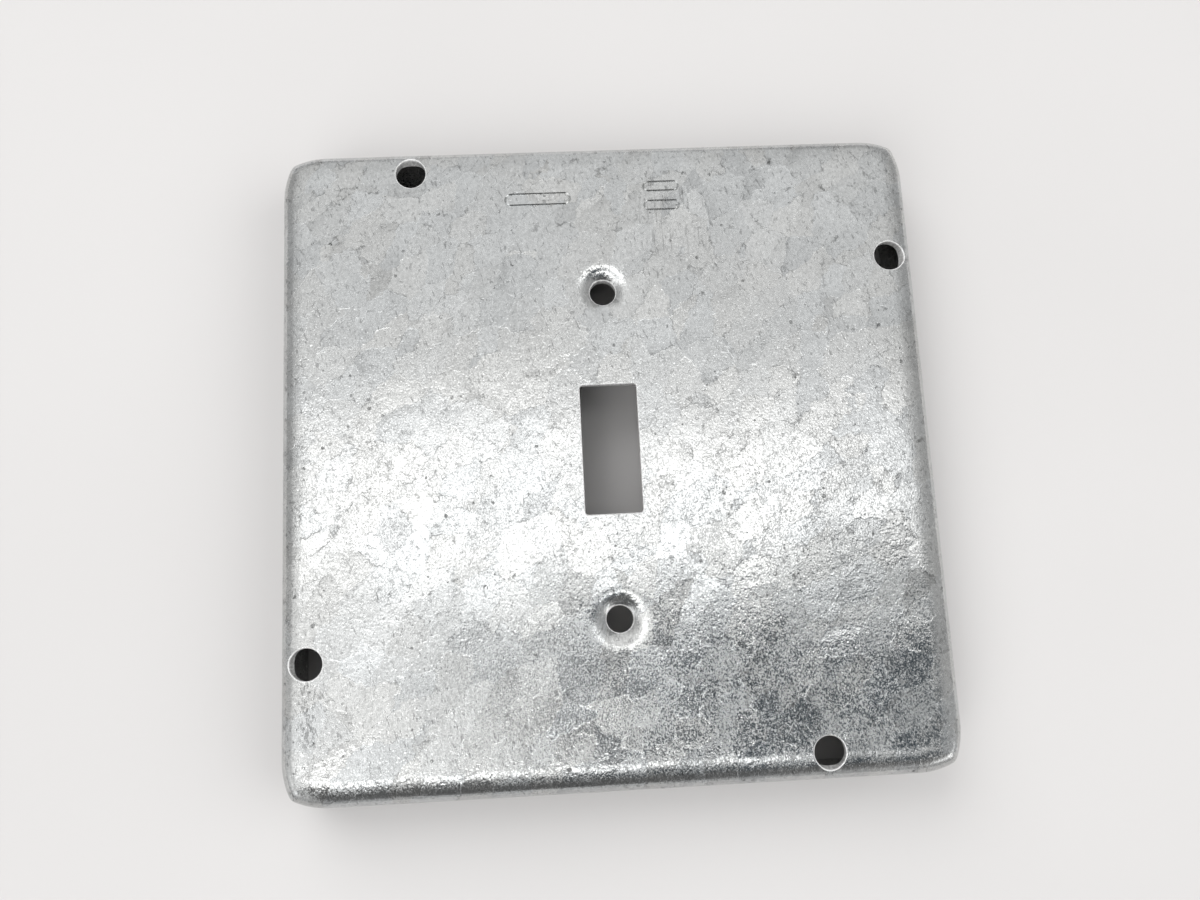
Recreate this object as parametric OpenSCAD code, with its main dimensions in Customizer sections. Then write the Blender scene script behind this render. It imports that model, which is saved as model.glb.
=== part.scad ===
// Raised cover for a 4-11/16 in square electrical box, with one opening for a toggle switch.
// It is a single piece of sheet steel: the face, the four bends and the four skirt walls.
// The blank is pierced, the screw seats are pressed in, and the walls are folded down until
// their ends meet in a butt seam at each corner.
// Millimetres. The origin is the centre of the rim, +Z points out of the face, and +Y points
// to the end that carries the stamped marks.

/* [Sheet] */
// Outside width and length of the cover
cover_w = 119.06; // [116:0.01:125]
// Outside height, from the rim to the face
cover_h = 14.29; // [11:0.01:25]
// Thickness of the steel
sheet_t = 1.59; // [1.2:0.01:1.8]
// Outside radius of the bend between the face and the walls
bend_r = 3; // [2.6:0.1:4]

/* [Corners] */
// Length at each end of a wall that curves in towards the corner
curl_len = 8.3; // [6:0.1:10]
// Radius of that curve, seen from above
curl_r = 15; // [13:0.5:20]
// Width of the butt seam
seam_w = 0.3; // [0.2:0.05:0.5]

/* [Cover screws] */
// Diameter of the four holes
cover_hole_d = 5.56; // [4.5:0.01:5.8]
// Distance from the outside of a wall to the centre of the hole beside it
cover_hole_edge = 4.8; // [4.6:0.05:6]
// Distance from the centre line to that hole, along the wall
cover_hole_offset = 35.2; // [30:0.1:38]

/* [Switch] */
// Width of the toggle opening
toggle_w = 10.4; // [10:0.1:11]
// Length of the toggle opening
toggle_l = 23.8; // [23:0.1:25]
// Distance of the opening's centre from the cover's centre, towards +Y
toggle_shift = 0.4; // [0:0.1:0.8]
// Distance between the two device screws
device_spacing = 60.325; // [60:0.005:61]
// Diameter of the device-screw holes
device_hole_d = 4.76; // [4:0.01:5]

/* [Screw seats] */
// Radius at which a seat leaves the face
seat_r = 5.3; // [5.2:0.1:6]
// Radius of the rounded flare that leads down to the hole
seat_flare_r = 7; // [4:0.1:7]
// Slope at which the flare reaches the hole, in degrees
seat_slope = 28; // [22:1:28]

/* [Stamped outlines] */
// Depth of the lines
mark_depth = 0.2; // [0.1:0.05:0.4]
// Width of the lines
mark_line = 0.4; // [0.3:0.1:0.6]
// Length of the long outline, left of the centre line
mark_long_l = 12.6; // [8:0.1:16]
// Width of the long outline
mark_long_w = 2.6; // [2:0.1:4]
// Length of the two short outlines, right of the centre line
mark_short_l = 7; // [5:0.1:10]
// Width of the two short outlines
mark_short_w = 2.2; // [1.8:0.1:2.6]
// Distance between the two short outlines
mark_pitch = 3.8; // [3:0.1:5]

/* [Hidden] */
$fn = 96;
// Distance by which a cut runs past the surface that it opens
past = 1;
half_w = cover_w / 2;
// A curl turns about an upright axis that lies this far from the cover's two centre lines
curl_near = half_w - curl_r;
curl_far = half_w - curl_len;
// A seam ends at the foot of the bend
seam_top = cover_h - bend_r;
// Slope at which a seat's flare leaves the face
flare_start = 4;
flare_step = (seat_slope - flare_start) / 8;
// Radius where a seat's surface ends, inside the hole that is cut through it
seat_end_r = device_hole_d / 2 - 0.3;
// Places of the stamped outlines, from the centre of the cover
mark_y = half_w - 10.7;
mark_long_x = -11.4;
mark_short_x = 12.1;

// Section of the filled form, from the axis out to a wall, with its top edge rounded
module wall_section(reach, top, r) {
    square([reach, top - r]);
    square([reach - r, top]);
    translate([reach - r, top - r]) circle(r);
}

// Straight middle stretch of two opposite walls, with all that lies between them
module span(reach, top, r) {
    for (side = [0, 1])
        mirror([side, 0, 0])
            rotate([90, 0, 0])
                linear_extrude(2 * curl_far, center = true)
                    wall_section(reach, top, r);
}

// End of one wall, curling in towards the corner
module curl(reach, top, r) {
    translate([curl_near, curl_far, 0])
        rotate_extrude()
            wall_section(reach, top, r);
}

// Corner block, where the ends of two walls run into each other along the diagonal
module corner(reach, top, r) {
    intersection() {
        curl(reach, top, r);
        mirror([1, -1, 0]) curl(reach, top, r);
        translate([curl_far, curl_far, 0]) cube([curl_len, curl_len, top]);
    }
}

// The cover's form as a filled solid `top` high, with its sides moved inwards by `inset`
module form(inset, top) {
    r = bend_r - inset;
    span(half_w - inset, top, r);
    rotate([0, 0, 90]) span(half_w - inset, top, r);
    for (k = [0:3])
        rotate([0, 0, 90 * k]) corner(curl_r - inset, top, r);
}

// Line of a seat's surface from the face in to its hole: the rounded flare, then a straight end.
// A `depth` of 0 gives the outside of the sheet, and sheet_t gives the inside.
function seat_line(depth) =
    let (r = seat_flare_r - depth,
         centre = [seat_r + seat_flare_r * sin(flare_start), cover_h - seat_flare_r * cos(flare_start)],
         flare = [for (a = [flare_start:flare_step:seat_slope + 0.1]) centre + r * [-sin(a), cos(a)]],
         foot = flare[len(flare) - 1])
    concat(flare, [[seat_end_r, foot.y - (foot.x - seat_end_r) * tan(seat_slope)]]);

// Steel that a seat pushes out below the face, before its hollow is cut
module seat_boss() {
    line = seat_line(sheet_t);
    buried = cover_h - sheet_t / 2;
    rotate_extrude()
        polygon(concat([[0, buried], [line[0].x, buried]], line, [[0, line[len(line) - 1].y]]));
}

// Hollow of a seat, from the outside
module seat_hollow() {
    line = seat_line(0);
    mouth = [seat_r + past, cover_h + past * tan(flare_start)];
    rotate_extrude()
        polygon(concat([[0, cover_h + past], [mouth.x, cover_h + past], mouth],
                       line, [[0, line[len(line) - 1].y]]));
}

// Hole through the face
module face_hole(d) {
    cylinder(d = d, h = cover_h + past);
}

// Cut that opens the butt seam of one corner
module seam_cut() {
    rotate([0, 0, 45])
        translate([curl_far * sqrt(2), -seam_w / 2, -past])
            cube([curl_len * sqrt(2), seam_w, seam_top + past]);
}

// Slot shape: a bar with round ends
module slot(length, width) {
    square([length - width, width], center = true);
    for (x = [-1, 1])
        translate([x * (length - width) / 2, 0]) circle(d = width);
}

// Blank outline, pressed into the face
module outline_mark(length, width) {
    translate([0, 0, cover_h - mark_depth])
        linear_extrude(mark_depth + past)
            difference() {
                slot(length, width);
                slot(length - 2 * mark_line, width - 2 * mark_line);
            }
}

module cover() {
    color("lightsteelblue")
    difference() {
        union() {
            difference() {
                form(0, cover_h);
                translate([0, 0, -past]) form(sheet_t, cover_h - sheet_t + past);
            }
            for (side = [-1, 1])
                translate([0, side * device_spacing / 2, 0]) seat_boss();
        }
        for (side = [-1, 1])
            translate([0, side * device_spacing / 2, 0]) {
                seat_hollow();
                face_hole(device_hole_d);
            }
        for (k = [0:3])
            rotate([0, 0, 90 * k]) {
                translate([cover_hole_offset, cover_hole_edge - half_w, 0]) face_hole(cover_hole_d);
                seam_cut();
            }
        translate([-toggle_w / 2, toggle_shift - toggle_l / 2, 0]) cube([toggle_w, toggle_l, cover_h + past]);
        translate([mark_long_x, mark_y, 0]) outline_mark(mark_long_l, mark_long_w);
        for (side = [-1, 1])
            translate([mark_short_x, mark_y + side * mark_pitch / 2, 0]) outline_mark(mark_short_l, mark_short_w);
    }
}

cover();
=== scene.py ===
"""Raised sheet-steel cover for a square electrical box: its mesh, its zinc, the studio and the camera.

The cover is made as it is in the press shop. A flat blank is triangulated with its punched openings, and
every point of the blank is then carried to its place on the formed sheet: the screw seats, the shoulder
and the bend. The walls are folded down from the bend and end in a butt seam at each corner.
Lengths are millimetres unless a comment says metres, and angles are radians unless it says degrees.
"""

import math

import bmesh
import bpy
import numpy as np
from mathutils import Matrix, Vector
from mathutils.geometry import delaunay_2d_cdt


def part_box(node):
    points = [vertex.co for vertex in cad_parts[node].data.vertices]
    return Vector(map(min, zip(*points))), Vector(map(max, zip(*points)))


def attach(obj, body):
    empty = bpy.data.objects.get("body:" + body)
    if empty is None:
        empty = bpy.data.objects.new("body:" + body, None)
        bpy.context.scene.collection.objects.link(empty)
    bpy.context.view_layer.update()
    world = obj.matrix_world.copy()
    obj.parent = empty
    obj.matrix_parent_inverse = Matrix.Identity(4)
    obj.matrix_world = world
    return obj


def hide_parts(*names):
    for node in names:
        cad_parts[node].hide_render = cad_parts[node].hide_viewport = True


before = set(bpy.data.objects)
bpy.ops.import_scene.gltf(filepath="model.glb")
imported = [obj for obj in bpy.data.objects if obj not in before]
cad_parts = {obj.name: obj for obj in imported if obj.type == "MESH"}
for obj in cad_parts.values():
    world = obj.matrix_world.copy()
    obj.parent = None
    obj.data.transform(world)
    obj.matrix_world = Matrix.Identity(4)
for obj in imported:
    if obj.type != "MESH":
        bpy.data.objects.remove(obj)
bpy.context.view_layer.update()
cover_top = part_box("cover")[1]

MM = 0.001
HALF_W = cover_top.x / MM
HEIGHT = cover_top.z / MM

# Sheet and bend. The face leaves the flat in a gentle shoulder, which runs into the tight bend.
SHEET = 1.59
BEND_R = 2.9
SHOULDER_R = 18.0
SHOULDER_SLOPE = math.radians(8)
FLAT_EDGE = BEND_R + (SHOULDER_R - BEND_R) * math.sin(SHOULDER_SLOPE)
FOOT_Z = HEIGHT - SHOULDER_R * (1 - math.cos(SHOULDER_SLOPE)) - BEND_R * math.cos(SHOULDER_SLOPE)
# Arc of the shoulder, and radius of each arc, on the middle of the sheet, which keeps its length
SHOULDER_MID_R = SHOULDER_R - SHEET / 2
BEND_MID_R = BEND_R - SHEET / 2
SHOULDER_RUN = SHOULDER_SLOPE * SHOULDER_MID_R

# Corners. Each wall curls in towards the corner, and two curls meet on the diagonal in a softened ridge.
CURL_LENGTH = 8.3
CURL_R = 15.0
CURL_NEAR = HALF_W - CURL_R
CURL_FAR = HALF_W - CURL_LENGTH
RIDGE = 0.35
SEAM = 0.3
RIM_ROUND = 0.16

# Openings: radii, half sizes and places
COVER_HOLE_R = 2.78
COVER_HOLE_EDGE = 4.8
COVER_HOLE_OFFSET = 35.2
DEVICE_HOLE_R = 2.38
DEVICE_Y = 60.325 / 2
TOGGLE_HALF = (5.2, 11.9)
TOGGLE_Y = 0.4
TOGGLE_CORNER = 0.55

# Wall of a punched opening: radius of its rolled-over edge, depth at which its smooth land ends, depth at
# which the torn land has opened out, by how much it opens, and height of the burr
PUNCH_ROUND = 0.18
SMOOTH_DEPTH = 0.42 * SHEET
TORN_DEPTH = 0.55 * SHEET
FRACTURE = 0.07
BURR = 0.08

# Screw seats: a rounded flare that leads down to the hole
SEAT_EDGE_R = 5.8
SEAT_FLARE_R = 7.0
SEAT_SLOPE = math.radians(28)

# Waviness of the face: length, bearing, phase and height of each wave, how far the sheet hangs under its
# nominal height, and the distance over which the waves set in
WAVES = [
    (71, 0.4, 1.3, 0.035),
    (47, 2.1, 4.0, 0.024),
    (33, 1.2, 0.6, 0.013),
    (24, 2.8, 2.2, 0.008),
    (17, 0.1, 5.1, 0.004),
]
WAVE_DROP = 0.06
WAVE_FADE = 9

# Pressed outlines: width and depth of the line, how far its flanks and the flat strip beside them reach from
# its middle, the strip round each outline that has no other points, then half sizes and centre of each
MARK_LINE = 0.4
MARK_DEPTH = 0.16
MARK_FLANK = 0.2
MARK_MARGIN = 0.3
MARK_CLEAR = 0.5
MARK_Y = HALF_W - 10.7
LONG_MARK = (6.3, 1.3)
SHORT_MARK = (3.5, 1.1)
MARKS = [
    (LONG_MARK, (-11.4, MARK_Y)),
    (SHORT_MARK, (12.1, MARK_Y - 1.9)),
    (SHORT_MARK, (12.1, MARK_Y + 1.9)),
]

# Mesh: spacing and counts of its points, the first and last even row of a wall under the bend's foot and
# over the rim, and the slopes in degrees that have a ring of points on the face's skin and below it
GRID_STEP = 1.6
GRID_MARGIN = 0.8
COLUMN_STEP = 1.1
BOX_STEP = 0.8
HOLE_STEPS = 64
HOLE_MARGIN = 0.3
CURL_STEPS = 12
SEAM_FOOT = 0.7
WALL_FIRST = 1.6
WALL_LAST = 1.2
WALL_ROWS = 7
SHARP_ANGLE = math.radians(38)
FACE_SLOPES = [54, 48, 42, 36, 30, 25, 20, 16, 12, 8, 6.4, 4.8, 3.2, 1.6, 0]
FOOT_SLOPES = [60, 66, 72, 78, 84, 90]

# Materials of the mesh, by their place in its list
ZINC, SHEARED, LIP = 0, 1, 2


# ---------------------------------------------------------------- the formed sheet

def smooth_ramp(t):
    """0 below 0, 1 above 1, and an even S between."""
    t = np.clip(t, 0, 1)
    return t * t * (3 - 2 * t)


def blank_distance(slope):
    """Distance inside the blank's outline at which the formed sheet has a slope."""
    tight = SHOULDER_RUN + (slope - SHOULDER_SLOPE) * BEND_MID_R
    return FLAT_EDGE - np.where(slope < SHOULDER_SLOPE, slope * SHOULDER_MID_R, tight)


def sheet_slope(distance):
    """Slope of the formed sheet at a distance inside the blank's outline."""
    run = np.maximum(FLAT_EDGE - distance, 0)
    tight = SHOULDER_SLOPE + (run - SHOULDER_RUN) / BEND_MID_R
    return np.where(run < SHOULDER_RUN, run / SHOULDER_MID_R, tight)


def section(slope):
    """Distance from the wall's outer face, and height, of the outer skin where it has a slope."""
    shoulder = slope < SHOULDER_SLOPE
    inset = np.where(shoulder, FLAT_EDGE - SHOULDER_R * np.sin(slope), BEND_R * (1 - np.sin(slope)))
    z = np.where(shoulder, HEIGHT - SHOULDER_R * (1 - np.cos(slope)), FOOT_Z + BEND_R * np.cos(slope))
    return inset, z


def pair_distance(across, along):
    """Distance to the nearer of two opposite walls, and the outward direction there as (across, along)."""
    over_across = np.abs(across) - CURL_NEAR
    over_along = np.maximum(np.abs(along) - CURL_FAR, 0)
    reach = np.where(over_along > 0, np.hypot(np.maximum(over_across, 0), over_along), over_across)
    safe = np.maximum(reach, 1e-9)
    out_across = np.where(over_along > 0, np.maximum(over_across, 0) / safe, 1.0)
    out_along = np.where(over_along > 0, over_along / safe, 0.0)
    return CURL_R - reach, np.sign(across) * out_across, np.sign(along) * out_along


def wall_distance(xy):
    """Distance to the outline and the unit vector that points out of it, with the corner ridges softened."""
    x, y = xy[:, 0], xy[:, 1]
    dist_x, out_x, side_x = pair_distance(x, y)
    dist_y, out_y, side_y = pair_distance(y, x)
    share = np.clip(0.5 + (dist_y - dist_x) / (2 * RIDGE), 0, 1)
    distance = share * dist_x + (1 - share) * dist_y - RIDGE * share * (1 - share)
    out = np.stack([share * out_x + (1 - share) * side_y, share * side_x + (1 - share) * out_y], 1)
    return distance, out / np.linalg.norm(out, axis=1)[:, None]


def relief(xy):
    """Height of the pressed seats and of the sheet's slight waviness over the flat face."""
    x, y = xy[:, 0], xy[:, 1]
    centre = np.hypot(x, np.abs(y) - DEVICE_Y)
    reach = np.maximum(SEAT_EDGE_R - centre, 0)
    flare = np.minimum(reach, SEAT_FLARE_R * math.sin(SEAT_SLOPE))
    seat = SEAT_FLARE_R - np.sqrt(SEAT_FLARE_R**2 - flare**2) + math.tan(SEAT_SLOPE) * (reach - flare)
    wave = np.zeros(len(xy))
    for length, bearing, phase, height in WAVES:
        along = x * math.cos(bearing) + y * math.sin(bearing)
        wave += height * np.sin(2 * math.pi * along / length + phase)
    fade = smooth_ramp((wall_distance(xy)[0] - FLAT_EDGE) / WAVE_FADE)
    return fade * (wave - WAVE_DROP) - seat


def formed(xy, depth):
    """Carries points of the blank, `depth` under its outer skin, to their place on the formed sheet."""
    distance, out = wall_distance(xy)
    slope = sheet_slope(distance)
    inset, z = section(slope)
    shift = np.where(distance < FLAT_EDGE, distance - inset, 0)
    step = 0.02
    tilt = []
    for nudge in ([step, 0], [0, step]):
        tilt.append((relief(xy - nudge) - relief(xy + nudge)) / (2 * step))
    normal = np.column_stack([out * np.sin(slope)[:, None] + np.stack(tilt, 1), np.cos(slope)])
    normal /= np.linalg.norm(normal, axis=1)[:, None]
    skin = np.column_stack([xy + out * shift[:, None], z + relief(xy)])
    return skin - normal * np.reshape(depth, (-1, 1))


# ---------------------------------------------------------------- lines on the blank

def quarter_turn(points, count):
    """Turns points about the cover's centre by a number of quarter turns."""
    cosine, sine = [(1, 0), (0, 1), (-1, 0), (0, -1)][count]
    return np.array(points) @ np.array([[cosine, sine], [-sine, cosine]])


def curl_end(distance):
    """Angle at which a curl, taken a distance inside the outline, reaches the diagonal."""
    radius = CURL_R - distance
    middle, gap = (CURL_NEAR + CURL_FAR) / 2, (CURL_FAR - CURL_NEAR) / 2
    corner = middle + math.sqrt(radius**2 / 2 - gap**2)
    return math.asin((corner - CURL_FAR) / radius)


def level_line(distance):
    """Closed line at a distance inside the outline, anticlockwise from the corner at +X -Y."""
    radius = CURL_R - distance
    bunched = 1 - (1 - np.arange(1, CURL_STEPS + 1) / CURL_STEPS) ** 1.8
    turn = curl_end(distance) * bunched
    upper = np.column_stack([CURL_NEAR + radius * np.cos(turn), CURL_FAR + radius * np.sin(turn)])
    lower = upper[::-1] * [1, -1]
    along = np.linspace(-CURL_FAR, CURL_FAR, round(2 * CURL_FAR / COLUMN_STEP) + 1)
    straight = np.column_stack([np.full(len(along), HALF_W - distance), along])
    side = np.vstack([lower, straight, upper])[:-1]
    line = np.vstack([quarter_turn(side, count) for count in range(4)])
    # The softened ridges pull the line in a little, so its points are moved back to their distance
    for _ in range(6):
        at, out = wall_distance(line)
        line = line + out * (at - distance)[:, None]
    return line


def ring(centre, radius):
    """Circle, anticlockwise."""
    turn = np.arange(HOLE_STEPS) * 2 * math.pi / HOLE_STEPS
    return np.array(centre) + radius * np.column_stack([np.cos(turn), np.sin(turn)])


def rounded_box(centre, half, corner, steps=6):
    """Rectangle with round corners, anticlockwise."""
    points = []
    for quarter, (side_x, side_y) in enumerate([(1, 1), (-1, 1), (-1, -1), (1, -1)]):
        for k in range(steps + 1):
            turn = (quarter + k / steps) * math.pi / 2
            points.append([side_x * (half[0] - corner) + corner * math.cos(turn),
                           side_y * (half[1] - corner) + corner * math.sin(turn)])
    points = np.array(points)
    line = []
    for start, end in zip(points, np.roll(points, -1, 0)):
        pieces = max(1, round(np.linalg.norm(end - start) / BOX_STEP))
        line += [start + (end - start) * k / pieces for k in range(pieces)]
    return np.array(centre) + np.array(line)


def bar(centre, half, steps=6):
    """Bar along X with round ends, anticlockwise."""
    return rounded_box(centre, half, half[1] - 1e-3, steps)


def inside(points, loop):
    """Which points lie inside a convex anticlockwise loop."""
    edge = np.roll(loop, -1, 0) - loop
    to = points[:, None] - loop
    return (edge[:, 0] * to[:, :, 1] - edge[:, 1] * to[:, :, 0] > 0).all(1)


def outside(points, loops):
    """Which points lie outside every one of several convex loops."""
    return ~np.any([inside(points, loop) for loop in loops], axis=0)


class RoundHole:
    """Punched hole, ringed with points at some offsets. `lean` narrows it with depth, as in a seat."""

    def __init__(self, centre, radius, ring_offsets, lean=0.0):
        self.centre = centre
        self.radius = radius
        self.ring_offsets = ring_offsets
        self.lean = lean

    def line(self, offset, depth):
        """Its edge in the blank at a depth, moved outwards by an offset."""
        return ring(self.centre, self.radius + offset - depth * self.lean)


class ToggleOpening:
    """Punched rectangle for the toggle, ringed with points at some offsets."""

    ring_offsets = [0.12, 0.6]

    def line(self, offset, depth):
        """Its edge in the blank, the same at every depth, moved outwards by an offset."""
        half = (TOGGLE_HALF[0] + offset, TOGGLE_HALF[1] + offset)
        return rounded_box((0, TOGGLE_Y), half, TOGGLE_CORNER + offset)


def openings():
    """The cover-screw holes in their pinwheel, the device-screw holes and the toggle opening."""
    made = []
    for count in range(4):
        centre = quarter_turn((COVER_HOLE_OFFSET, COVER_HOLE_EDGE - HALF_W), count)
        made.append(RoundHole(centre, COVER_HOLE_R, [0.12, 0.4]))
    seat_offsets = [0.12] + [0.4 * k for k in range(1, 10)]
    for side in (-1, 1):
        made.append(RoundHole((0, side * DEVICE_Y), DEVICE_HOLE_R, seat_offsets, math.sin(SEAT_SLOPE)))
    made.append(ToggleOpening())
    return made


# ---------------------------------------------------------------- the mesh

class Shell:
    """Points and faces of the whole sheet, and the material of each face."""

    def __init__(self):
        self.points = []
        self.faces = []
        self.kinds = []
        self.count = 0

    def add(self, points):
        """Adds points, and returns their numbers."""
        self.points.append(points)
        self.count += len(points)
        return np.arange(self.count - len(points), self.count)

    def face(self, corners, kind):
        self.faces.append([int(corner) for corner in corners])
        self.kinds.append(kind)

    def strip(self, first, second, kind, closed=False):
        """Quads between two rows of points."""
        last = len(first) if closed else len(first) - 1
        for i in range(last):
            j = (i + 1) % len(first)
            self.face([first[i], first[j], second[j], second[i]], kind)


class Blank:
    """Points and fixed lines of one skin of the flat blank, which is then triangulated."""

    def __init__(self):
        self.points = []
        self.depths = []
        self.edges = []
        self.count = 0

    def add(self, points, depth):
        """Adds points that lie at a depth under the outer skin, and returns their numbers."""
        self.points.append(points)
        self.depths.append(np.full(len(points), depth))
        self.count += len(points)
        return np.arange(self.count - len(points), self.count)

    def add_line(self, line, depth, keep=None):
        """Adds those points of a closed line that are kept, with edges between neighbours."""
        keep = np.ones(len(line), bool) if keep is None else keep
        number = np.cumsum(keep) - 1 + self.count
        for i in range(len(line)):
            j = (i + 1) % len(line)
            if keep[i] and keep[j]:
                self.edges.append((int(number[i]), int(number[j])))
        return self.add(line[keep], depth)

    def triangulate(self):
        """Flat positions, depths and triangles."""
        flat = np.vstack(self.points)
        found = delaunay_2d_cdt([Vector(point) for point in flat], self.edges, [], 1, 1e-7, True)
        origin = [old[0] for old in found[3]]
        triangles = np.array([[origin[corner] for corner in face] for face in found[2]])
        return flat, np.concatenate(self.depths), triangles


def add_mark_lines(blank):
    """Lines of the pressed grooves: their floors, flanks and margins. Returns a loop round each outline."""
    loops = []
    for (half_x, half_y), centre in MARKS:
        for offset in (-MARK_MARGIN, -MARK_FLANK, 0, MARK_FLANK, MARK_MARGIN):
            half = (half_x - MARK_LINE / 2 + offset, half_y - MARK_LINE / 2 + offset)
            blank.add_line(bar(centre, half, steps=8), 0.0 if offset else MARK_DEPTH)
        loops.append(bar(centre, (half_x + MARK_CLEAR, half_y + MARK_CLEAR)))
    return loops


def add_face_skin(shell, depth, holes):
    """Triangulates one skin of the face. Returns its outer ring and its edge at each hole."""
    outer_skin = depth == 0
    margin = PUNCH_ROUND if outer_skin else BURR
    blank = Blank()
    hole_rows = []
    hole_loops = []
    taken = []
    for hole in holes:
        hole_loops.append(hole.line(margin, depth))
        hole_rows.append(blank.add_line(hole_loops[-1], depth))
        for offset in hole.ring_offsets:
            blank.add_line(hole.line(margin + offset, depth), depth)
        taken.append(hole.line(margin + hole.ring_offsets[-1] + HOLE_MARGIN, depth))
    if outer_skin:
        taken += add_mark_lines(blank)
    levels = blank_distance(np.radians(FACE_SLOPES))
    boundary = blank.add_line(level_line(levels[0]), depth)
    for level in levels[1:]:
        line = level_line(level)
        blank.add_line(line, depth, keep=outside(line, taken))
    count = round(2 * (HALF_W - FLAT_EDGE) / GRID_STEP)
    ticks = np.linspace(FLAT_EDGE - HALF_W, HALF_W - FLAT_EDGE, count)
    grid = np.array([(x, y) for y in ticks for x in ticks])
    grid = grid[(wall_distance(grid)[0] > FLAT_EDGE + GRID_MARGIN) & outside(grid, taken)]
    blank.add(grid, depth)

    flat, depths, triangles = blank.triangulate()
    names = shell.add(formed(flat, depths))
    for triangle in triangles[outside(flat[triangles].mean(1), hole_loops)]:
        shell.face(names[triangle], ZINC)
    return names[boundary], [names[row] for row in hole_rows]


def add_hole_walls(shell, hole, outer_row, inner_row):
    """Wall of a punched opening: rolled-over edge, smooth land, torn land and burr."""
    levels = []
    for turn in np.radians([30, 60, 90]):
        levels.append((PUNCH_ROUND * (1 - math.sin(turn)), PUNCH_ROUND * (1 - math.cos(turn))))
    rolled = len(levels)
    levels += [(0, SMOOTH_DEPTH), (FRACTURE, TORN_DEPTH), (FRACTURE, SHEET - BURR)]
    rows = [shell.add(formed(hole.line(offset, depth), depth)) for offset, depth in levels]
    rows = [outer_row, *rows, inner_row]
    for k, (first, second) in enumerate(zip(rows, rows[1:])):
        shell.strip(first, second, LIP if k < rolled else SHEARED, closed=True)


def add_bend(shell, row, depth, base, out, base_distance):
    """Steep part of the bend on one skin, from the face's outer ring down. Returns its lowest row."""
    for slope in np.radians(FOOT_SLOPES):
        inset, z = section(slope)
        normal = np.column_stack([out * math.sin(slope), np.full(len(out), math.cos(slope))])
        skin = np.column_stack([base + out * (base_distance - inset), np.full(len(out), z)])
        above, row = row, shell.add(skin - normal * depth)
        shell.strip(above, row, ZINC, closed=True)
    return row


def wall_section():
    """Inset and height of each row of a wall: down the outside, round the rim and up the inside.

    The seam opens between the bend's foot and the first row.
    """
    heights = [FOOT_Z - SEAM_FOOT, *np.linspace(FOOT_Z - WALL_FIRST, WALL_LAST, WALL_ROWS), RIM_ROUND]
    outside_rows = [(0, z) for z in heights]
    for turn in np.radians([30, 60, 90]):
        outside_rows.append((RIM_ROUND * (1 - math.cos(turn)), RIM_ROUND * (1 - math.sin(turn))))
    return outside_rows + [(SHEET - inset, z) for inset, z in outside_rows[::-1]]


def add_wall(shell, side, feet, outline, out):
    """One of the four walls, hung from the bend's two lowest rows, with half a seam open at each end."""
    columns = len(outline) // 4
    pick = np.arange(side * columns, (side + 1) * columns + 1) % len(outline)
    first_shift, last_shift = quarter_turn([[1, 1], [1, -1]], side) * SEAM / math.sqrt(8)
    rows = [feet[0][pick]]
    heights = [FOOT_Z]
    for inset, z in wall_section():
        plan = outline[pick] - out[pick] * inset
        plan[0] += first_shift
        plan[-1] += last_shift
        rows.append(shell.add(np.column_stack([plan, np.full(len(pick), z)])))
        heights.append(z)
    rows.append(feet[1][pick])
    heights.append(FOOT_Z)
    for k in range(len(rows) - 1):
        on_rim = max(heights[k], heights[k + 1]) <= RIM_ROUND
        shell.strip(rows[k], rows[k + 1], SHEARED if on_rim else ZINC)
    for end in (0, -1):
        column = [row[end] for row in rows]
        for k in range(len(column) // 2 - 1):
            shell.face([column[k], column[k + 1], column[-2 - k], column[-1 - k]], SHEARED)


def build_cover():
    """The whole sheet: both skins of the face, the hole walls, the bends and the four walls."""
    shell = Shell()
    holes = openings()
    depths = (0.0, SHEET)
    (outer_ring, outer_rows), (inner_ring, inner_rows) = [add_face_skin(shell, d, holes) for d in depths]
    for hole, outer_row, inner_row in zip(holes, outer_rows, inner_rows):
        add_hole_walls(shell, hole, outer_row, inner_row)
    base_distance = float(blank_distance(math.radians(FACE_SLOPES[0])))
    base = level_line(base_distance)
    out = wall_distance(base)[1]
    feet = []
    for row, depth in zip((outer_ring, inner_ring), depths):
        feet.append(add_bend(shell, row, depth, base, out, base_distance))
    for side in range(4):
        add_wall(shell, side, feet, base + out * base_distance, out)
    return shell


def mesh_object(name, shell, materials):
    """Makes a closed mesh with outward faces, smooth but for its true edges."""
    mesh = bpy.data.meshes.new(name)
    mesh.from_pydata(np.vstack(shell.points) * MM, [], shell.faces)
    mesh.polygons.foreach_set("material_index", shell.kinds)
    for material in materials:
        mesh.materials.append(material)
    work = bmesh.new()
    work.from_mesh(mesh)
    bmesh.ops.recalc_face_normals(work, faces=work.faces)
    work.to_mesh(mesh)
    work.free()
    mesh.shade_smooth()
    mesh.set_sharp_from_angle(angle=SHARP_ANGLE)
    made = bpy.data.objects.new(name, mesh)
    bpy.context.scene.collection.objects.link(made)
    return made


# ---------------------------------------------------------------- materials

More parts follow.
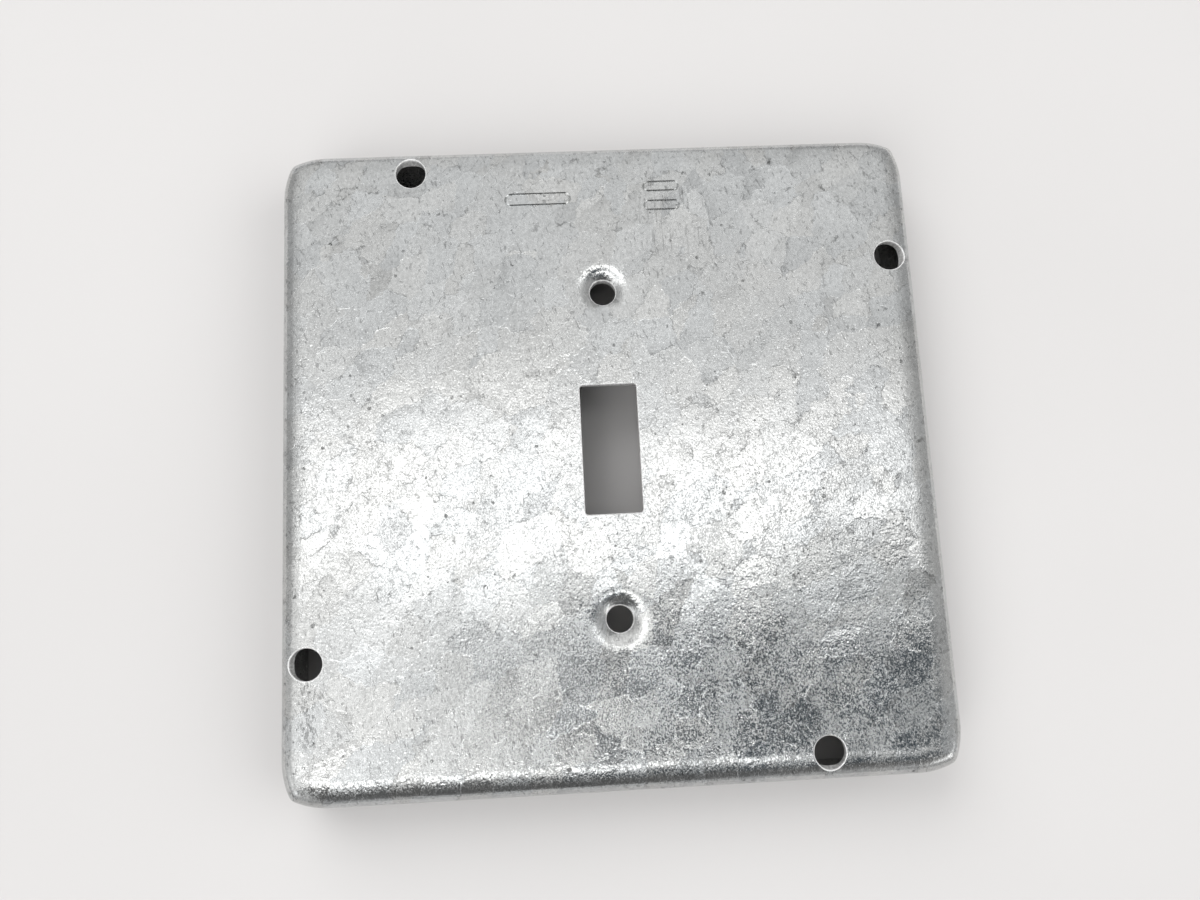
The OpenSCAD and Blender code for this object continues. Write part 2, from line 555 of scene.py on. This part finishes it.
class Nodes:
    """Short hand for building a node tree."""

    def __init__(self, tree):
        self.tree = tree
        self.tree.nodes.clear()

    def add(self, kind, inputs=None, **settings):
        """Adds a node, sets it, and sets or links its inputs."""
        node = self.tree.nodes.new(kind)
        for name, value in settings.items():
            setattr(node, name, value)
        for name, value in (inputs or {}).items():
            if isinstance(value, bpy.types.NodeSocket):
                self.tree.links.new(value, node.inputs[name])
            else:
                node.inputs[name].default_value = value
        return node

    def math(self, operation, first, second=0.0):
        return self.add("ShaderNodeMath", {0: first, 1: second}, operation=operation).outputs[0]

    def product(self, *values):
        """Several numbers multiplied."""
        result = values[0]
        for value in values[1:]:
            result = self.math("MULTIPLY", result, value)
        return result

    def total(self, first, *parts):
        """A number plus several parts, each a pair of a value and its factor."""
        for value, factor in parts:
            first = self.math("ADD", first, self.math("MULTIPLY", value, factor))
        return first

    def vector(self, operation, first, second, output="Vector"):
        node = self.add("ShaderNodeVectorMath", {0: first, 1: second}, operation=operation)
        return node.outputs[output]

    def scaled(self, vector, factor):
        return self.add("ShaderNodeVectorMath", {0: vector, "Scale": factor}, operation="SCALE").outputs[0]

    def stretch(self, place, scale):
        return self.add("ShaderNodeMapping", {"Vector": place, "Scale": scale}).outputs[0]

    def turned(self, place, degrees):
        rotation = (0, 0, math.radians(degrees))
        return self.add("ShaderNodeMapping", {"Vector": place, "Rotation": rotation}).outputs[0]

    def object_place(self):
        return self.add("ShaderNodeTexCoord").outputs["Object"]

    def ramp(self, value, low, high, start=0.0, end=1.0):
        """Maps low..high to start..end, with soft ends."""
        inputs = {"Value": value, "From Min": low, "From Max": high, "To Min": start, "To Max": end}
        return self.add("ShaderNodeMapRange", inputs, interpolation_type="SMOOTHSTEP").outputs["Result"]

    def window(self, value, low, high, soft):
        """1 between low and high, 0 outside, with soft ends."""
        rise = self.ramp(value, low - soft, low + soft)
        fall = self.ramp(value, high + soft, high - soft)
        return self.product(rise, fall)

    def noise(self, place, scale, detail=2.0, rough=0.5, output="Fac"):
        inputs = {"Vector": place, "Scale": scale, "Detail": detail, "Roughness": rough}
        return self.add("ShaderNodeTexNoise", inputs).outputs[output]

    def cells(self, place, scale):
        """Voronoi cells, and the three random numbers of each."""
        node = self.add("ShaderNodeTexVoronoi", {"Vector": place, "Scale": scale})
        return node, self.add("ShaderNodeSeparateColor", {0: node.outputs["Color"]}).outputs

    def cell_border(self, place, scale):
        inputs = {"Vector": place, "Scale": scale}
        return self.add("ShaderNodeTexVoronoi", inputs, feature="DISTANCE_TO_EDGE").outputs["Distance"]

    def mix(self, share, first, second):
        return self.add("ShaderNodeMix", {0: share, 6: first, 7: second}, data_type="RGBA").outputs[2]

    def surface(self, colour, rough, metal, height=None, depth=0.0):
        """The material's surface, with a bump of `height` times `depth` metres if there is one."""
        inputs = {"Base Color": colour, "Roughness": rough, "Metallic": metal}
        if height is not None:
            bump = self.add("ShaderNodeBump", {"Height": height, "Strength": 1.0, "Distance": depth})
            inputs["Normal"] = bump.outputs[0]
        shader = self.add("ShaderNodeBsdfPrincipled", inputs)
        self.add("ShaderNodeOutputMaterial", {"Surface": shader.outputs[0]})


def new_material(name):
    """An empty material and its nodes."""
    material = bpy.data.materials.new(name)
    material.use_nodes = True
    return material, Nodes(material.node_tree)


def spangle(net, place):
    """The zinc's crystals, each tilted a little its own way, with ragged borders and veins.

    Returns each crystal's random numbers, the fall of its tilt, the ridges along its borders with their
    painted shade and painted highlight, and the veins.
    """
    warp = net.vector("SUBTRACT", net.noise(place, 0.32, 4, 0.6, "Color"), (0.5, 0.5, 0.5))
    bent = net.vector("ADD", place, net.scaled(warp, 4.2))
    bent = net.stretch(net.turned(bent, 40), (1.2, 0.8, 1))
    crystal_size = 0.17
    crystal, pick = net.cells(bent, crystal_size)
    from_middle = net.vector("SUBTRACT", bent, crystal.outputs["Position"])
    lean = net.vector("SUBTRACT", crystal.outputs["Color"], (0.5, 0.5, 0.5))
    fall = net.vector("DOT_PRODUCT", from_middle, lean, "Value")
    border = net.ramp(net.cell_border(bent, crystal_size), 0.038, 0.0)
    patchy = net.noise(place, 0.4, 2, 0.5)
    # Border ridges: the darker ones carry painted shade and the lighter ones a painted highlight, standing
    # for the shade and the mirrored light on the raised crystal edges
    dark = net.product(border, net.ramp(patchy, 0.56, 0.63))
    light = net.product(border, net.ramp(patchy, 0.48, 0.41))
    vein = net.ramp(net.cell_border(bent, 0.5), 0.10, 0.0)
    vein = net.product(vein, net.ramp(net.noise(place, 0.8, 1), 0.56, 0.64))
    return pick, fall, dark, light, vein


def matt_specks(net, place, pick, bend):
    """Fine matt specks between which the zinc is bright, fewer on the bends."""
    speck = net.noise(net.stretch(place, (1, 0.75, 1)), 3.6, 3, 0.72)
    cloud = net.math("SUBTRACT", net.noise(place, 0.2, 3, 0.6), 0.5)
    speck = net.total(speck, (cloud, 0.22), (net.math("SUBTRACT", pick[2], 0.5), 0.09))
    return net.product(net.ramp(speck, 0.45, 0.66), net.ramp(bend, 0, 1, 1, 0.5))


def small_pits(net, place):
    """Scattered round pits of several sizes."""
    cell, pick = net.cells(place, 0.6)
    near = net.math("LESS_THAN", cell.outputs["Distance"], net.ramp(pick[1], 0, 1, 0.10, 0.26))
    return net.product(near, net.ramp(pick[0], 0.74, 0.92), net.ramp(net.noise(place, 2.0, 2), 0.4, 0.6))


def draw_marks(net, place, off_x, off_y):
    """Marks that the press drew over the bends, across each edge."""
    over_x = net.noise(net.stretch(place, (0.3, 2.6, 1)), 1.0, 3, 0.6)
    over_y = net.noise(net.stretch(place, (2.6, 0.3, 1)), 1.0, 3, 0.6)
    over_x = net.product(over_x, net.ramp(off_x, 53, 56))
    over_y = net.product(over_y, net.ramp(off_y, 52.5, 55.5))
    return net.math("ADD", over_x, over_y)


def scratches(net, place, x, y):
    """Fine lengthwise scratches by the short outlines."""
    mark = net.ramp(net.noise(net.stretch(place, (2.4, 0.14, 1)), 1.0, 2, 0.5), 0.60, 0.68)
    return net.product(mark, net.product(net.window(x, 8, 21, 3), net.window(y, 35, 52, 4)))


def scuffed_strip(net, place, x, y):
    """Scuffed strip beside the near end of the left edge."""
    mark = net.ramp(net.noise(net.stretch(place, (2.6, 1.1, 1)), 1.0, 3, 0.7), 0.50, 0.60)
    return net.product(mark, net.product(net.window(x, -56, -53, 0.8), net.window(y, -49.5, -38, 1.5)))


def zinc_material():
    """Hot-dip zinc on steel. Places and heights are in millimetres."""
    material, net = new_material("zinc")
    place = net.stretch(net.object_place(), (1 / MM, 1 / MM, 1 / MM))
    x, y, z = net.add("ShaderNodeSeparateXYZ", {0: place}).outputs
    off_x = net.math("ABSOLUTE", x)
    off_y = net.math("ABSOLUTE", y)
    past_screw = net.math("SUBTRACT", off_y, DEVICE_Y)
    from_screw = net.math("SQRT", net.math("ADD", net.product(x, x), net.product(past_screw, past_screw)))
    seat = net.ramp(from_screw, SEAT_EDGE_R - 0.2, SEAT_EDGE_R - 1.4)
    bend = net.ramp(net.math("MAXIMUM", off_x, off_y), HALF_W - 3.3, HALF_W - 1.5)

    pick, fall, ridge_with_painted_shade, ridge_with_painted_highlight, vein = spangle(net, place)
    matt = matt_specks(net, place, pick, bend)
    stroke = net.ramp(net.noise(net.stretch(net.turned(place, -16), (2.0, 0.55, 1)), 1.0, 2, 0.5), 0.64, 0.70)
    grain = net.noise(place, 1.7, 3, 0.6)
    facet, facet_pick = net.cells(net.stretch(place, (1.15, 0.85, 1)), 2.5)
    lump = net.product(facet.outputs["Distance"], net.math("POWER", facet_pick[0], 4.0))
    blotch = net.noise(place, 0.07, 3, 0.55)
    pit = small_pits(net, place)
    drawn = draw_marks(net, place, off_x, off_y)
    scratch = scratches(net, place, x, y)
    scuff = scuffed_strip(net, place, x, y)

    # Brightness: each crystal's own, then what each mark multiplies it by, and the painted shade and painted
    # highlights
    tone = net.product(
        net.ramp(pick[0], 0, 1, 0.93, 1.03),
        # Painted shade: each crystal darker towards the raised end of its tilt, on top of the bump that tilts
        # it
        net.ramp(fall, 0.2, 1.5, 1.01, 0.88),
        net.ramp(blotch, 0.3, 0.7, 0.97, 1.02),
        net.ramp(grain, 0.3, 0.7, 0.91, 1.05),
        net.ramp(facet_pick[1], 0, 1, 0.93, 1.04),
        # Painted shade and painted highlight along the crystal border ridges
        net.ramp(ridge_with_painted_shade, 0, 1, 1, 0.70),
        net.ramp(ridge_with_painted_highlight, 0, 1, 1, 1.14),
        net.ramp(vein, 0, 1, 1, 0.72),
        net.ramp(stroke, 0, 1, 1, 0.66),
        net.ramp(pit, 0, 1, 1, 0.50),
        # Painted highlight: the pressed seats are brighter in colour; their lower roughness below is the real
        # smoothing by the press
        net.ramp(seat, 0, 1, 1, 1.14),
        # Painted shade: the foot of the bend darker, standing for the table in the cover's shadow that it
        # mirrors
        net.ramp(z, FOOT_Z + 1.9, FOOT_Z + 2.6, 0.75, 1),
        net.ramp(scratch, 0, 1, 1, 0.72),
        net.ramp(scuff, 0, 1, 1, 0.62),
    )
    colour = net.mix(net.ramp(pick[1], 0, 1), (0.70, 0.715, 0.717, 1), (0.72, 0.725, 0.715, 1))
    rough = net.ramp(net.product(matt, net.ramp(seat, 0, 1, 1, 0.35)), 0, 1, 0.10, 0.36)
    rough = net.total(rough, (bend, 0.06), (pit, 0.25), (scuff, 0.20))
    height = net.total(
        net.product(grain, 0.006),
        (lump, net.ramp(bend, 0, 1, 0.030, 0.010)),
        (matt, 0.004),
        (fall, 0.022),
        (net.math("ADD", ridge_with_painted_shade, ridge_with_painted_highlight), 0.010),
        (vein, -0.008),
        (pit, -0.02),
        (scratch, -0.01),
        (scuff, -0.015),
        (drawn, 0.022),
    )
    net.surface(net.scaled(colour, tone), rough, 1.0, height, MM)
    return material


def edge_material(name, dark, light, metal, rough):
    """Cut edge smeared with zinc, with short strokes along the punch's travel."""
    material, net = new_material(name)
    strokes = net.noise(net.stretch(net.object_place(), (1 / MM, 1 / MM, 0.25 / MM)), 3.0, 3, 0.6)
    colour = net.mix(net.ramp(strokes, 0.35, 0.65), (*dark, 1), (*light, 1))
    net.surface(colour, rough, metal, strokes, 0.08 * MM)
    return material


def table_material():
    """Plain matt white table top."""
    material, net = new_material("table")
    cloud = net.noise(net.object_place(), 9.0, 2, 0.5)
    colour = net.mix(net.ramp(cloud, 0.3, 0.7), (0.505, 0.495, 0.49, 1), (0.52, 0.51, 0.505, 1))
    net.surface(colour, 0.6, 0.0)
    return material


# ---------------------------------------------------------------- studio

def grey(level):
    return (level, level, level)


# The room as the cover mirrors it: a grey level all round, and soft-edged panels. A panel is a range of
# angles from the zenith towards +X and one towards +Y, the softness of its edges both ways, all in degrees,
# and its colour. Later ones lie on top.
ROOM = grey(0.70)
PANELS = [
    # The paler far end of the ceiling, mirrored by the far end of the face
    ((-90, 90), (14, 32), 8, 5, grey(0.80)),
    # The left wall, and the part of it that a window lights
    ((-180, -30), (-90, 90), 12, 8, grey(0.42)),
    ((-180, -30), (-60, -4), 12, 5, grey(0.66)),
    # The dark near end, mirrored by the near bend
    ((-34, 36), (-74, -16), 8, 2.5, grey(0.12)),
    # The near part of the ceiling: bright on the left and dark on the right
    ((-40, -5), (-16, 4), 10, 4, grey(0.98)),
    ((0, 34), (-24, 1.5), 9, 3, (0.055, 0.070, 0.083)),
    # The right wall
    ((29, 180), (-90, 90), 10, 8, grey(0.42)),
    # A strip light over the near end, mirrored by the near shoulder, and its weak right end
    ((-28, 15), (-15.3, -10.3), 8, 1.3, grey(2.8)),
    ((14, 32), (-16, -11), 6, 2.5, grey(0.6)),
    # The lamp over the middle, mirrored by the band across the face
    ((-25, 20), (1.8, 11), 6, 2.6, grey(2.1)),
    # Glints on the two near corners
    ((-62, -36), (-52, -24), 6, 6, grey(1.3)),
    ((40, 66), (-62, -32), 6, 6, grey(1.6)),
]

# Fill lights: bearing in degrees from +X towards +Y, and watts. Their size and place are in metres.
FILLS = [(120, 17.0), (240, 14.0), (0, 12.0)]
FILL_SIZE = 1.4
FILL_REACH = 1.15
FILL_HEIGHT = 1.1

TABLE_SIZE = 6.0

# The view from above, a little from the near end
CAMERA_PLACE = (-9.77, -29.53, 186.62)
CAMERA_AIM = (-2.04, 0.15, 14.29)
CAMERA_ROLL = math.radians(-2.956)
CAMERA_LENS = 28.97
CAMERA_SENSOR = 36.0


def make_world():
    """Lights the scene with the room and its panels."""
    world = bpy.data.worlds.new("studio")
    bpy.context.scene.world = world
    world.use_nodes = True
    net = Nodes(world.node_tree)
    direction = net.add("ShaderNodeTexCoord").outputs["Generated"]
    x, y, z = net.add("ShaderNodeSeparateXYZ", {0: direction}).outputs
    lean_x = net.math("DEGREES", net.math("ARCTAN2", x, z))
    lean_y = net.math("DEGREES", net.math("ARCTAN2", y, z))
    light = (*ROOM, 1)
    for x_range, y_range, soft_x, soft_y, colour in PANELS:
        share = net.product(net.window(lean_x, *x_range, soft_x), net.window(lean_y, *y_range, soft_y))
        light = net.mix(share, light, (*colour, 1))
    background = net.add("ShaderNodeBackground", {"Color": light, "Strength": 1.0})
    net.add("ShaderNodeOutputWorld", {"Surface": background.outputs[0]})


def make_fills():
    """Big soft lights round the table. They light what is matt, and the zinc doesn't mirror them."""
    for bearing, watts in FILLS:
        data = bpy.data.lights.new("fill", "AREA")
        data.shape = "DISK"
        data.size = FILL_SIZE
        data.energy = watts
        fill = bpy.data.objects.new("fill", data)
        turn = math.radians(bearing)
        fill.location = (FILL_REACH * math.cos(turn), FILL_REACH * math.sin(turn), FILL_HEIGHT)
        fill.rotation_euler = (-fill.location).to_track_quat("-Z", "Y").to_euler()
        fill.visible_glossy = False
        bpy.context.scene.collection.objects.link(fill)


def make_table():
    bpy.ops.mesh.primitive_grid_add(x_subdivisions=8, y_subdivisions=8, size=TABLE_SIZE)
    table = bpy.context.object
    table.name = "table"
    table.data.materials.append(table_material())


def make_camera():
    place = Vector(CAMERA_PLACE) * MM
    aim = Vector(CAMERA_AIM) * MM
    back = (place - aim).normalized()
    right = Vector((0, 1, 0)).cross(back).normalized()
    view = Matrix([right, back.cross(right), back]).transposed() @ Matrix.Rotation(CAMERA_ROLL, 3, "Z")
    data = bpy.data.cameras.new("camera")
    data.lens = CAMERA_LENS
    data.sensor_width = CAMERA_SENSOR
    data.clip_start = 0.005
    camera = bpy.data.objects.new("camera", data)
    camera.matrix_world = Matrix.Translation(place) @ view.to_4x4()
    bpy.context.scene.collection.objects.link(camera)
    bpy.context.scene.camera = camera


def main():
    sheared = edge_material("sheared_edge", (0.44, 0.44, 0.435), (0.70, 0.70, 0.69), 0.4, 0.35)
    lip = edge_material("burnished_lip", (0.62, 0.62, 0.61), (0.86, 0.86, 0.86), 0.5, 0.25)
    cover = mesh_object("zinc_cover", build_cover(), [zinc_material(), sheared, lip])
    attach(cover, "root")
    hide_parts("cover")
    make_world()
    make_fills()
    make_table()
    make_camera()
    bpy.context.scene.view_settings.view_transform = "Standard"


main()
